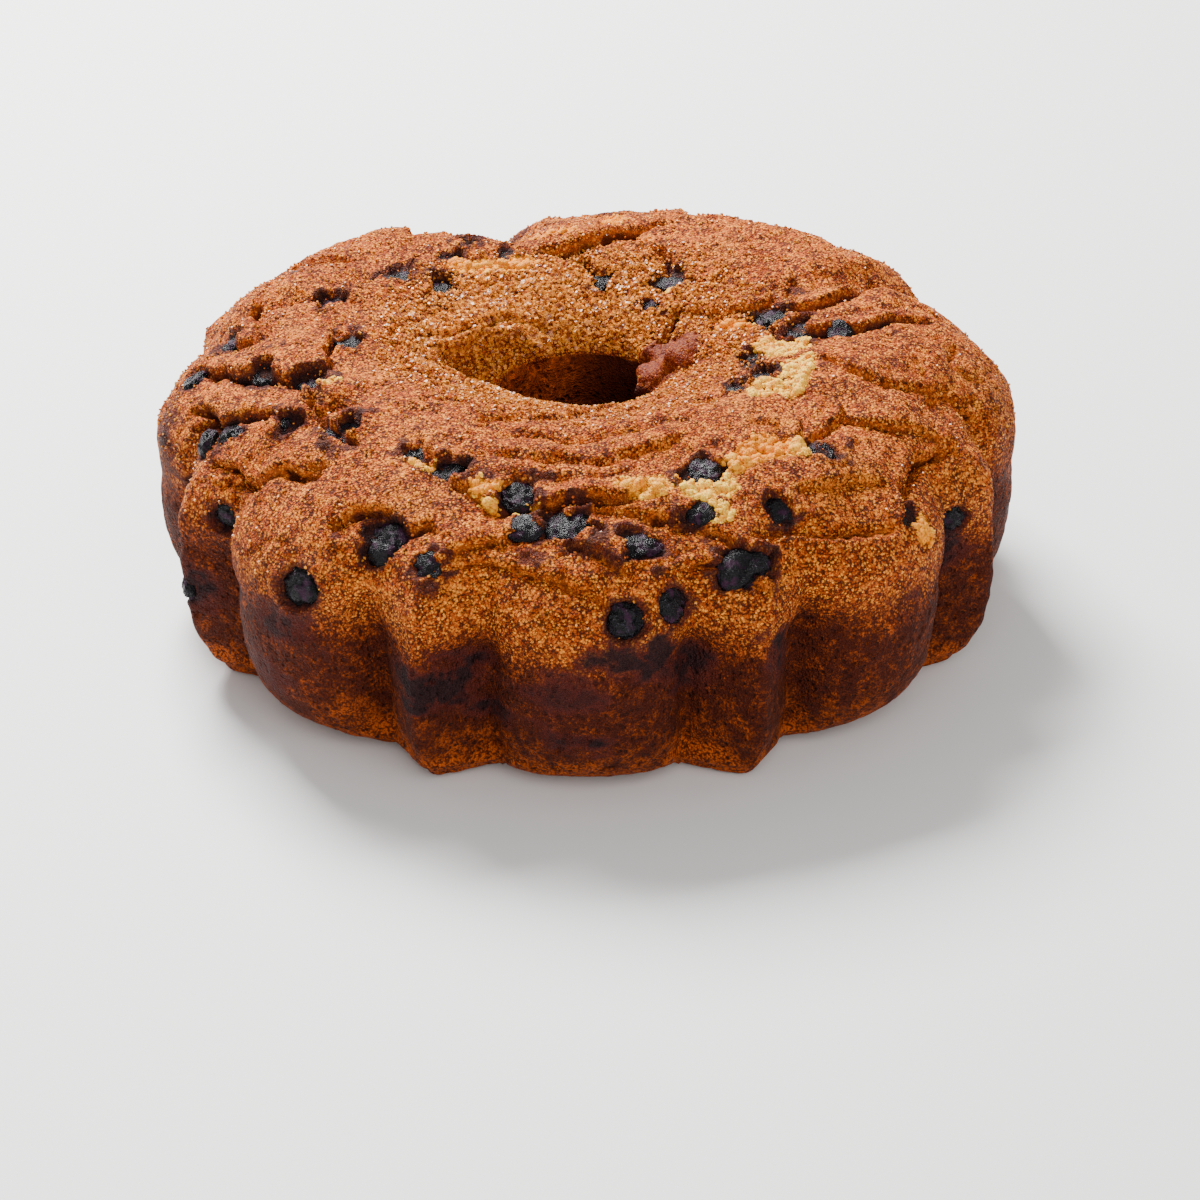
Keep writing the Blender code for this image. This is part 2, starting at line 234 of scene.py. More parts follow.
# Juice stains on the wall: azimuth, height, half width in degrees, half height, strength.
WALL_STAINS = (
    (250, 31, 6.5, 9, 1.0),
    (257, 24, 6, 5, 0.8),
    (266, 20, 5, 4, 0.7),
    (271, 19, 4, 3, 0.9),
    (276, 44, 7, 7, 0.95),
    (283, 36, 5, 9, 0.75),
    (268, 35, 6, 8, 0.6),
    (296, 36, 4, 9, 0.8),
    (292, 45, 2, 3, 0.7),
    (315, 43, 3, 4, 0.6),
    (331, 40, 3, 9, 0.9),
    (343, 40, 3, 10, 0.8),
    (228, 38, 5, 7, 0.7),
    (224, 22, 6, 9, 0.5),
    (214, 30, 4, 12, 0.9),
    (203, 28, 4, 9, 0.8),
    (196, 42, 4, 9, 1.0),
    (186, 55, 5, 12, 0.7),
    (26, 40, 5, 8, 0.8),
    (52, 20, 6, 6, 0.6),
    (66, 26, 5, 8, 0.8),
    (85, 45, 5, 9, 0.8),
    (103, 18, 6, 5, 0.6),
    (118, 40, 5, 8, 0.9),
    (139, 20, 4, 8, 0.7),
    (163, 42, 5, 9, 0.8),
)


def linear(hex_colour):
    """A Blender colour from sRGB hex, such as C0703A."""
    channels = [int(hex_colour[i : i + 2], 16) / 255 for i in (0, 2, 4)]
    return tuple(c / 12.92 if c <= 0.04045 else ((c + 0.055) / 1.055) ** 2.4 for c in channels)


def colour(name, description, hex_colour):
    return FloatVectorProperty(
        name=name,
        description=description,
        default=linear(hex_colour),
        subtype="COLOR",
        size=3,
        min=0,
        max=1,
    )


def length(name, description, millimetres):
    return FloatProperty(
        name=name,
        description=description,
        default=millimetres * MM,
        unit="LENGTH",
        min=0,
    )


# ---- noise and fields, on arrays of points in millimetres ------------------------------------


def smooth_step(start, end, x):
    t = np.clip((x - start) / (end - start), 0, 1)
    return t * t * (3 - 2 * t)


def eased(pairs, x):
    """The values at x of the smooth steps through (x, value) pairs."""
    xs, ys = np.array(pairs, dtype=float).T
    i = np.clip(np.searchsorted(xs, x) - 1, 0, len(xs) - 2)
    return ys[i] + (ys[i + 1] - ys[i]) * smooth_step(xs[i], xs[i + 1], x)


def turn_between(a, b):
    """The angle from azimuth b to azimuth a in degrees, from -180 to 180."""
    return (a - b + 180) % 360 - 180


def on_plan(azimuth, radius):
    """Plan coordinates of points given by azimuth and radius."""
    turn = np.radians(azimuth)
    return np.stack((radius * np.cos(turn), radius * np.sin(turn)), axis=-1)


def cell_value(cells, seed):
    """A fixed scrambled number from 0 to 1 for each whole-numbered cell."""
    mixed = cells[..., 0] * 73856093 ^ cells[..., 1] * 19349663 ^ cells[..., 2] * 83492791
    mixed = (mixed ^ seed * 668265263) & 0xFFFFFFFF
    mixed = (mixed ^ mixed >> 15) * 2246822519 & 0xFFFFFFFF
    mixed = (mixed ^ mixed >> 13) * 3266489917 & 0xFFFFFFFF
    return (mixed ^ mixed >> 16) / 0xFFFFFFFF


def lumps(points, size, seed=0, octaves=1):
    """Smooth noise from about -1 to 1, with lumps about size across."""
    total = np.zeros(len(points))
    strength = 1.0
    for octave in range(octaves):
        at = points * (2**octave / size) + 17.3 * octave
        cell = np.floor(at).astype(np.int64)
        part = at - cell
        part = part * part * (3 - 2 * part)
        for corner in np.ndindex(2, 2, 2):
            weight = np.prod(np.where(corner, part, 1 - part), axis=1)
            total += strength * weight * (cell_value(cell + corner, seed + octave) * 2 - 1)
        strength *= 0.5
    return total * 1.3


def pebbles(points, size, seed=0):
    """Distances to the nearest and next nearest of scattered centres, in sizes."""
    at = points / size
    cell = np.floor(at).astype(np.int64)
    near = np.full(len(at), 9.0)
    nearer = np.full(len(at), 9.0)
    for step in np.ndindex(3, 3, 3):
        there = cell + step - 1
        centre = there + np.stack([cell_value(there, seed + k) for k in (11, 29, 47)], axis=1)
        away = np.linalg.norm(centre - at, axis=1)
        near = np.minimum(near, np.maximum(nearer, away))
        nearer = np.minimum(nearer, away)
    return nearer, near


def curve_through(points, spacing):
    """Points at about this spacing on a smooth curve through the given ones."""
    points = np.asarray(points, dtype=float)
    before = np.vstack((2 * points[0] - points[1], points[:-1]))
    after = np.vstack((points[1:], 2 * points[-1] - points[-2]))
    slope = (after - before) / 2
    parts = []
    for i in range(len(points) - 1):
        count = max(2, int(np.linalg.norm(points[i + 1] - points[i]) / spacing))
        t = np.linspace(0, 1, count, endpoint=False)[:, None]
        start = (2 * t**3 - 3 * t**2 + 1) * points[i] + (t**3 - 2 * t**2 + t) * slope[i]
        parts.append(start + (3 * t**2 - 2 * t**3) * points[i + 1] + (t**3 - t**2) * slope[i + 1])
    return np.vstack(parts + [points[-1:]])


def course_field(plan, course):
    """For each plan point near a course: (its index, distance, side, part of the way along)."""
    line = curve_through([on_plan(a, r) for a, r in course], 1.0)
    low, high = line.min(axis=0) - 10, line.max(axis=0) + 10
    near = np.flatnonzero(((plan > low) & (plan < high)).all(axis=1))
    if not len(near):
        return near, None, None, None
    gap = plan[near, None, :] - line[None, :, :]
    reach = np.hypot(gap[..., 0], gap[..., 1])
    closest = reach.argmin(axis=1)
    ahead = np.gradient(line, axis=0)[closest]
    off = gap[np.arange(len(near)), closest]
    side = np.sign(ahead[:, 0] * off[:, 1] - ahead[:, 1] * off[:, 0])
    return near, reach.min(axis=1), side, closest / (len(line) - 1)


# ---- the ring --------------------------------------------------------------------------------


def flutes(azimuth):
    """(how far out, from 0 in a valley to 1 on a crest; 1 in a pointed flute and 0 in a round one)."""
    out = 0
    for shift in (-CREASE, 0, CREASE):
        off = np.abs(turn_between(azimuth + shift, PITCH * np.round((azimuth + shift) / PITCH)))
        lobe = np.sqrt(np.clip(1 - (off / LOBE_HALF) ** 2, 0, 1))
        ridge = 1 - np.abs(off - PITCH / 2) / RIDGE_HALF
        out = out + np.where(off <= LOBE_HALF, lobe, ridge) / 3
    off = np.abs(turn_between(azimuth, PITCH * np.round(azimuth / PITCH)))
    return out, np.where(off <= LOBE_HALF, 0.0, 1.0)


def rise(azimuth):
    """How much higher the batter stands near the rim."""
    step = azimuth % 360 / (PITCH / 2)
    first = np.floor(step).astype(int) % len(RISE)
    heights = np.array(RISE, dtype=float)
    part = smooth_step(0, 1, step - np.floor(step))
    height = heights[first] * (1 - part) + heights[(first + 1) % len(RISE)] * part
    for middle, half_width, depth in PARTINGS:
        height = height - depth * (1 - smooth_step(0, half_width, np.abs(turn_between(azimuth, middle))))
    return height


def swell(azimuth, radius):
    plan = on_plan(azimuth, radius)
    total = 0
    for middle, out, reach, height in SWELLS:
        away = np.linalg.norm(plan - on_plan(middle, out), axis=-1)
        total = total + height * (1 - smooth_step(0, reach, away))
    return total


def knob(azimuth, radius, height):
    middle, half_width, at, half_height, reach = KNOB
    round_it = 1 - smooth_step(0, half_width, np.abs(turn_between(azimuth, middle)))
    up_it = 1 - smooth_step(0, half_height, np.abs(height - at))
    return reach * round_it * up_it * (1 - smooth_step(KNOB_FROM, KNOB_BY, radius))


def shaped(azimuth, radius, height):
    """Where points of the plain ring go: flutes, valleys and uneven crown."""
    out, pointed = flutes(azimuth)
    fluted = smooth_step(FLUTED_FROM, FLUTED_BY, radius)
    move = -eased(VALLEY_DEPTH, height) * (1 - out)
    move = move + pointed * eased(RIDGE_REACH, height) * out
    lift = rise(azimuth) * smooth_step(RISE_FROM, RISE_BY, radius)
    lift = lift * smooth_step(PAN_EDGE, RISEN, height)
    lift = lift + np.where(height > CROWN_HEIGHT / 2, swell(azimuth, radius), 0)
    r = radius + move * fluted - knob(azimuth, radius, height)
    return np.column_stack((on_plan(azimuth, r), height + lift))


def plain_ring(columns, spacing):
    """A smooth section spun into a closed ring, as a bmesh in metres."""
    count = len(SECTION)
    loop = np.array(SECTION, dtype=float)
    fine = []
    for i in range(count):
        ends = loop[[i - 1, i, (i + 1) % count, (i + 2) % count]]
        (r, z), (next_r, next_z) = ends[1:3]
        on_base, in_hole, on_wall = max(z, next_z) < 2.5, max(r, next_r) < 31 and z < 62.9, next_z < 48.1
        coarser = 7 if on_base else 3 if in_hole else 1.4 if on_wall else 1
        steps = max(2, round(np.hypot(next_r - r, next_z - z) / spacing / coarser))
        fine.append(hermite(ends, steps))
    outline = np.vstack(fine)
    outline[:, 1] = np.maximum(outline[:, 1], 0)
    bm = bmesh.new()
    verts = [bm.verts.new((r * MM, 0, z * MM)) for r, z in outline]
    edges = [bm.edges.new((a, b)) for a, b in zip(verts, verts[1:] + verts[:1])]
    bmesh.ops.spin(
        bm,
        geom=verts + edges,
        cent=(0, 0, 0),
        axis=(0, 0, 1),
        angle=2 * pi,
        steps=columns,
        use_merge=True,
    )
    bmesh.ops.recalc_face_normals(bm, faces=bm.faces)
    return bm


def hermite(ends, count):
    """count points from ends[1] towards ends[2], on the smooth curve through all four."""
    t = np.linspace(0, 1, count, endpoint=False)[:, None]
    a, b, c, d = ends
    from_slope, to_slope = (c - a) / 2, (d - b) / 2
    near = (2 * t**3 - 3 * t**2 + 1) * b + (t**3 - 2 * t**2 + t) * from_slope
    return near + (3 * t**2 - 2 * t**3) * c + (t**3 - t**2) * to_slope


def positions(mesh):
    """A mesh's vertices in millimetres."""
    flat = np.empty(len(mesh.vertices) * 3)
    mesh.vertices.foreach_get("co", flat)
    return flat.reshape(-1, 3) / MM


def directions(mesh):
    flat = np.empty(len(mesh.vertices) * 3)
    mesh.vertices.foreach_get("normal", flat)
    return flat.reshape(-1, 3)


def set_positions(mesh, points):
    mesh.vertices.foreach_set("co", (points * MM).ravel())
    mesh.update()


def paint(mesh, name, values):
    """Keeps one number for each vertex, for the materials."""
    layer = mesh.attributes.new(name, "FLOAT", "POINT")
    layer.data.foreach_set("value", values.astype(np.float32))


class Seat:
    """Where one berry sits: its middle, the way it faces, and its width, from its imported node."""

    def __init__(self, name, points, normals):
        low, high = (np.array(corner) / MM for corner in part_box(name))
        self.middle = (low + high) / 2
        nearest = np.argsort(np.linalg.norm(points - self.middle, axis=1))[:12]
        facing = normals[nearest].mean(axis=0)
        self.facing = facing / np.linalg.norm(facing)
        self.width = float((high - low).max())
        along = np.cross((0, 0, 1), self.middle * (1, 1, 0))
        along = along - self.facing * along.dot(self.facing)
        self.along = along / np.linalg.norm(along)
        self.across = np.cross(self.facing, self.along)
        self.seed = int(name[-2:])
        self.on_wall = self.facing[2] < 0.5
        chance = float(cell_value(np.array([[self.seed, 3, 5]]), 7)[0])
        self.stretch = 1 if self.on_wall else 0.95 + 0.45 * chance

    def local(self, points):
        """(along, across, out) of points from the berry's middle, in its half widths."""
        off = points - self.middle
        half = self.width / 2
        return off @ self.along / half / self.stretch, off @ self.across / half, off @ self.facing / half


def crack_relief(plan, points, height_of_crown, scale):
    """(height of the crust, how deep in a crack it is, with painted shade on the low side of each ledge, how
    much juice is there).
    """
    height = np.zeros(len(plan))
    opened_and_painted_shade = np.zeros(len(plan))
    juice = np.zeros(len(plan))
    ragged = 0.9 * lumps(points, 3.0, 5, 3)
    wander = [lumps(points, 11, seed, 2) + 0.45 * lumps(points, 3.2, seed, 2) for seed in (8, 9)]
    wander = np.stack(wander, axis=1)
    for courses, is_crack in ((CRACKS, 1), (FOLDS, 0)):
        for course, half_width, depth, step, stain in courses:
            near, away, side, along = course_field(plan + wander, course)
            if not len(near):
                continue
            here = height_of_crown[near] * scale
            taper = np.clip(4 * along * (1 - along), 0, 1) ** 0.45
            wide = half_width * (0.4 + 0.6 * taper)
            edge = np.clip(away + ragged[near] * (0.6 if is_crack else 0.25), 0, None)
            split = 1 - smooth_step(0.1, 1.1, edge / wide)
            slope = 0.34 * abs(depth) * is_crack * taper * np.exp(-away / 3.4)
            ledge = 0.9 * step * np.clip(side * away / 0.8, -1, 1) * taper * np.exp(-away / 8)
            height[near] += here * (ledge - slope - depth * taper * split)
            deep = is_crack * here * taper * split * min(1, depth / 2.6)
            # Painted shade on the low side of each ledge, taken into the crack's depth.
            under = np.exp(-(((away + 0.5 * ragged[near]) / 1.1) ** 2)) * (side * step < 0)
            deep = np.maximum(deep, here * taper * under * min(0.62, 0.3 * abs(step)))
            opened_and_painted_shade[near] = np.maximum(opened_and_painted_shade[near], deep)
            juice[near] = np.maximum(juice[near], stain * deep)
    for size, depth, seed in ((10, 0.6, 90), (5, 0.5, 92)):
        lines = 1 - smooth_step(0.02, 0.17, np.abs(lumps(points, size, seed, 3)))
        lines *= height_of_crown * smooth_step(-0.1, 0.35, lumps(points, 2.1 * size, seed + 1))
        height -= depth * lines
        opened_and_painted_shade = np.maximum(opened_and_painted_shade, 0.55 * depth * lines)
    return height, np.clip(opened_and_painted_shade, 0, 1), juice


def torn_patches(plan, points):
    """(how bare the crumb is, its tone from cream to yellow, the juice round it)."""
    bare = np.zeros(len(plan))
    tone = np.zeros(len(plan))
    ragged = 0.28 * lumps(points, 3.0, 21, 2) + 0.12 * lumps(points, 1.0, 22)
    azimuth = np.degrees(np.arctan2(plan[:, 1], plan[:, 0]))
    radius = np.hypot(plan[:, 0], plan[:, 1])
    stain = np.zeros(len(plan))
    for middle, out, half_long, half_wide, yellow in TORN:
        round_it = np.radians(turn_between(azimuth, middle)) * out / half_long
        away = np.hypot(round_it, (radius - out) / half_wide) + ragged
        here = 1 - smooth_step(0.85, 1.12, away)
        tone = np.where(here > bare, yellow, tone)
        bare = np.maximum(bare, here)
    for middle, out, half_long, half_wide, strength in CROWN_STAINS:
        round_it = np.radians(turn_between(azimuth, middle)) * out / half_long
        away = np.hypot(round_it, (radius - out) / half_wide) + 1.6 * ragged
        stain = np.maximum(stain, strength * (1 - smooth_step(0.5, 1.15, away)))
    return bare * (1 - smooth_step(0.3, 0.6, stain)), tone, stain


class BUNDT_PG_crust(bpy.types.PropertyGroup):
    columns: IntProperty(
        name="Columns",
        description="Vertices round the ring",
        default=700,
        min=96,
    )
    spacing: length("Spacing", "Distance between vertices along the crown's section", 0.8)
    crack_scale: FloatProperty(
        name="Crack depth",
        description="Multiplies the depth of every crack and fold",
        default=1.0,
        min=0,
    )
    grain: length("Grain", "Width of the crust's smallest modelled grains", 1.7)
    baked: colour("Baked crust", "The crown's main brown", "CE5C0E")
    toasted: colour("Toasted crust", "The crown's darker grains", "862E03")
    # Partly the crust's own darkest brown, partly painted shade: between the grains, deep in the cracks,
    # under ledges, in the pores and down the hole.
    burnt_and_painted_shade: colour("Burnt crust", "Between the grains and deep in the cracks", "3A1002")
    golden: colour("Golden crust", "The crown's lightest grains", "FF9C36")
    pan_side: colour("Pan side", "The wall where the pan browned it", "8A390F")
    pan_low: colour("Pan side, bright", "The wall's flecks and its lower edge", "C2560F")
    pan_dark: colour("Pan side, dark", "The wall's pores and darkest bands", "3C1003")
    rust: colour("Torn crust", "The inside of shallow cracks", "CC5F10")
    cream: colour("Crumb", "Torn crumb at its palest", "FFCE48")
    yolk: colour("Yellow crumb", "Torn crumb at its yellowest", "E88B00")
    juice: colour("Juice", "Blueberry juice baked on to the crust", "1C0F12")
    blush: colour("Thin juice", "The edge of a juice stain", "4A1A14")
    glaze: colour("Glaze", "The sticky knob beside the hole", "5A1802")


class BUNDT_OT_crust(bpy.types.Operator):
    """Builds the crown and the pan side, with cracks, folds, torn places and stains"""

    bl_idname = "bundt.crust"
    bl_label = "Crust"

    def execute(self, context):
        wanted = context.scene.bundt_crust
        whole = bpy.data.meshes.new("crust")
        bm = plain_ring(wanted.columns, wanted.spacing / MM)
        bm.to_mesh(whole)
        bm.free()
        plain = positions(whole)
        azimuth = np.degrees(np.arctan2(plain[:, 1], plain[:, 0]))
        radius = np.hypot(plain[:, 0], plain[:, 1])
        height = plain[:, 2]
        points = shaped(azimuth, radius, height)
        set_positions(whole, points)
        normals = directions(whole)
        seats = [Seat(name, points, normals) for name in BERRIES]
        relief, layers = crust_relief(wanted, points, azimuth, radius, height, seats)
        moved = points + normals * relief[:, None]
        moved[:, 2] = np.maximum(moved[:, 2], 0)
        set_positions(whole, moved)
        layers["on_crown"] = np.where(radius > 60, height > 48.01, height > 62.9).astype(float)
        for name, values in layers.items():
            paint(whole, name, values)
        facing = whole.attributes.new("facing", "FLOAT_VECTOR", "POINT")
        facing.data.foreach_set("vector", directions(whole).ravel().astype(np.float32))
        finish = crust_material(wanted)
        for name, side in (("crown", 1), ("pan_side", 0)):
            piece = add_piece(context, name, part_of(whole, name, side), finish)
            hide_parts("cake")
        return {"FINISHED"}


def part_of(whole, name, side):
    """The faces on one side of the pan's edge, still shaded as one surface with the rest."""
    part = bpy.data.meshes.new(name)
    bm = bmesh.new()
    bm.from_mesh(whole)
    flag = bm.verts.layers.float["on_crown"]
    is_crown = [min(vert[flag] for vert in face.verts) for face in bm.faces]
    gone = [face for face, crown in zip(bm.faces, is_crown) if crown != side]
    bmesh.ops.delete(bm, geom=gone, context="FACES")
    bm.to_mesh(part)
    bm.free()
    part.shade_smooth()
    facing = np.empty(len(part.vertices) * 3, dtype=np.float32)
    part.attributes["facing"].data.foreach_get("vector", facing)
    part.normals_split_custom_set_from_vertices(facing.reshape(-1, 3).tolist())
    return part


def crust_relief(wanted, points, azimuth, radius, height, seats):
    """(how far each vertex moves out, the layers that the material reads)."""
    plan = on_plan(azimuth, radius)
    wave = lumps(points, 15, 31, 2)
    inside = (radius < 31) & (height < 62)
    crown = smooth_step(37, 54, height + 4 * wave)
    crown = np.where(radius < 60, (height > 50).astype(float), crown)
    crown = np.where(radius < 24, smooth_step(50, 62, height), crown)
    wall = (1 - crown) * ~inside
    cracks, opened_and_painted_shade, soaked = crack_relief(plan, points, crown, wanted.crack_scale)
    bare, tone, bled = torn_patches(plan, points)
    bare = bare * crown
    rim = smooth_step(84, 104, radius)
    broad = (1.0 * lumps(points, 24, 1) + 0.8 * lumps(points, 10, 2)) * (1 - 0.5 * rim) - 0.8 * rim
    nearest, _ = pebbles(points + 0.6 * lumps(points, 2.5, 3)[:, None], wanted.grain / MM, 4)
    grains = 0.1 * (0.55 - nearest) + 0.26 * lumps(points, 3.6, 5, 2) + 0.07 * lumps(points, 1.9, 7)
    relief = crown * (broad + grains) + cracks
    bulge = np.exp(-(((height - 51 - 2 * wave) / 4.5) ** 2)) - np.exp(-(((height - 41 - 2 * wave) / 4) ** 2))
    relief += 0.7 * bulge * (radius > 90)
    curds, _ = pebbles(points, 2.6, 40)
    relief += bare * (2.3 * (0.6 - curds) - 0.8)
    pores, _ = pebbles(points + 0.8 * lumps(points, 3, 42)[:, None], 4.2, 43)
    pitted = (1 - smooth_step(0.14, 0.28, pores)) * smooth_step(-0.1, 0.6, lumps(points, 16, 44))
    relief += wall * (0.4 * lumps(points, 13, 45) + 0.2 * lumps(points, 2.4, 46) - 0.8 * pitted)
    relief += inside * (0.6 * lumps(points, 6, 47, 2))
    knob_place = shaped(np.array([10.0]), np.array([28.0]), np.array([64.0]))[0]
    glazed = 1 - smooth_step(9, 14, np.linalg.norm(points - knob_place, axis=1) + 2 * wave)
    flap_turn, flap_out = np.array(FLAP[::-1]).T
    crest = np.interp(azimuth % 360, flap_turn, flap_out)
    pocket = smooth_step(crest - 0.3, crest - 2.8, radius) * smooth_step(112, 126, azimuth % 360)
    pocket = pocket * smooth_step(202, 184, azimuth % 360) * (height > 50)
    relief -= SUNK * pocket * (1 + 0.3 * lumps(points, 3, 50, 2))
    relief += glazed * (2.6 * np.abs(lumps(points, 8, 49, 2)) - 0.6)
    # The side of the hole that the light falls on, for the painted shade down the hole.
    lit = 1 - smooth_step(30, 105, np.abs(turn_between(azimuth, 165)))
    juice = np.maximum(soaked, bled * crown)
    covered = np.zeros(len(points))
    for seat in seats:
        hollow, stain, over = seat_fields(seat, points)
        relief = relief * (1 - 0.8 * over) + hollow
        juice = np.maximum(juice, stain)
        covered = np.maximum(covered, over)
    stains = wall_stains(azimuth, height, points) * ~inside * (height < 60)
    juice = np.maximum(juice, stains)
    high = height + 4 * wave + 3 * lumps(points, 4, 48, 2)
    layers = {
        "crown": crown,
        "rim": smooth_step(63, 49, height + 4 * wave) * (radius > 80),
        "band": wall * smooth_step(46, 36, high) * smooth_step(4, 17, high),
        "inside": inside.astype(float),
        # Painted shade down the hole: darker lower down and away from the lit side.
        "deep": inside * (1 - 0.85 * lit * smooth_step(12, 50, height)),
        "pocket": pocket,
        "low": wall * smooth_step(27, 12, high),
        "opened_and_painted_shade": opened_and_painted_shade,
        "bare": bare * (1 - covered),
        "tone": tone,
        "juice": juice,
        "glazed": glazed,
        "sugared": sugared(azimuth, radius, crown)
        * (1 - opened_and_painted_shade)
        * (1 - bare)
        * (1 - covered)
        * (1 - 0.5 * pocket)
        * (1 - glazed),
    }
    return relief, layers


def sugared(azimuth, radius, crown):
    """How thick the sugar lies: most round the hole, on its left and behind it."""
    near_hole = 1 - smooth_step(36, 62, radius)
    behind = 0.5 + 0.5 * np.cos(np.radians(azimuth - 135))
    return crown * (near_hole * (0.2 + 0.8 * behind) + 0.015 + 0.025 * behind)


def seat_fields(seat, points):
    """(the hollow that a berry lies in, the juice round it, where the berry shows)."""
    hollow = np.zeros(len(points))
    stain = np.zeros(len(points))
    over = np.zeros(len(points))
    near = np.flatnonzero(np.linalg.norm(points - seat.middle, axis=1) < seat.width * 1.6)
    along, across, out = seat.local(points[near])
    away = np.hypot(along, across)
    uneven = 0.06 if seat.on_wall else 0.5
    ragged = uneven * lumps(points[near], 4.2, 60 + seat.seed, 2) + 0.05 * lumps(points[near], 1.6, 59)
    opening = 0.97 if seat.on_wall else 0.83
    facing_out = smooth_step(-0.9, -0.1, out)
    hole = (1 - smooth_step(opening - 0.12, opening + 0.1, away + ragged)) * facing_out
    over[near] = hole
    hollow[near] = -0.5 * seat.width / 2 * hole
    lip = np.exp(-(((away + ragged - opening - 0.3) / 0.2) ** 2)) * facing_out
    hollow[near] += (0.2 if seat.on_wall else 0.6) * lip
    halo = 0.62 * np.exp(-((np.clip(away + 2.2 * ragged - opening, 0, None) / 0.26) ** 2))
    stain[near] = np.maximum(halo * facing_out, 0.9 * hole)
    return hollow, stain, over


def wall_stains(azimuth, height, points):
    total = np.zeros(len(points))
    ragged = 0.5 * lumps(points * (1, 1, 2.4), 9, 51, 4)
    for middle, at, half_width, half_height, strength in WALL_STAINS:
        away = np.hypot(turn_between(azimuth, middle) / half_width, (height - at) / half_height)
        total = np.maximum(total, strength * (1 - smooth_step(0.2, 1.25, away + ragged)))
    return total


# ---- pieces and materials --------------------------------------------------------------------


def add_piece(context, name, mesh, material):
    """A finished piece that belongs to the cake."""
    mesh.materials.append(material)
    piece = bpy.data.objects.new(name, mesh)
    context.scene.collection.objects.link(piece)
    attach(piece, "root")
    return piece


def add_node(tree, kind, inputs=None, output=0, **settings):
    """A new shader node's output. Each input takes a fixed value or another node's output."""
    node = tree.nodes.new(f"ShaderNode{kind}")
    for name, value in settings.items():
        setattr(node, name, value)
    for key, value in (inputs or {}).items():
        socket = node.inputs[key]
        if isinstance(value, bpy.types.NodeSocket):
            tree.links.new(value, socket)
        elif socket.type == "RGBA":
            socket.default_value = (*value, 1)
        else:
            socket.default_value = value
    return node.outputs[output]


def new_material(name, **sockets):
    """A material with its Principled shader's sockets filled."""
    material = bpy.data.materials.new(name)
    material.use_nodes = True
    shader = material.node_tree.nodes["Principled BSDF"]
    for socket, value in sockets.items():
        shader.inputs[socket.replace("_", " ")].default_value = value
    return material, material.node_tree, shader


def coated(tree, base, *coats):
    """A base colour under coats: (mask, where the coat starts, where it is full, cover, colour)."""
    for mask, start, full, cover, over in coats:
        inputs = {"Value": mask, "From Min": start, "From Max": full, "To Max": cover}
        share = add_node(tree, "MapRange", inputs, interpolation_type="SMOOTHSTEP")
        base = add_node(tree, "Mix", {0: share, 6: base, 7: over}, 2, data_type="RGBA")
    return base


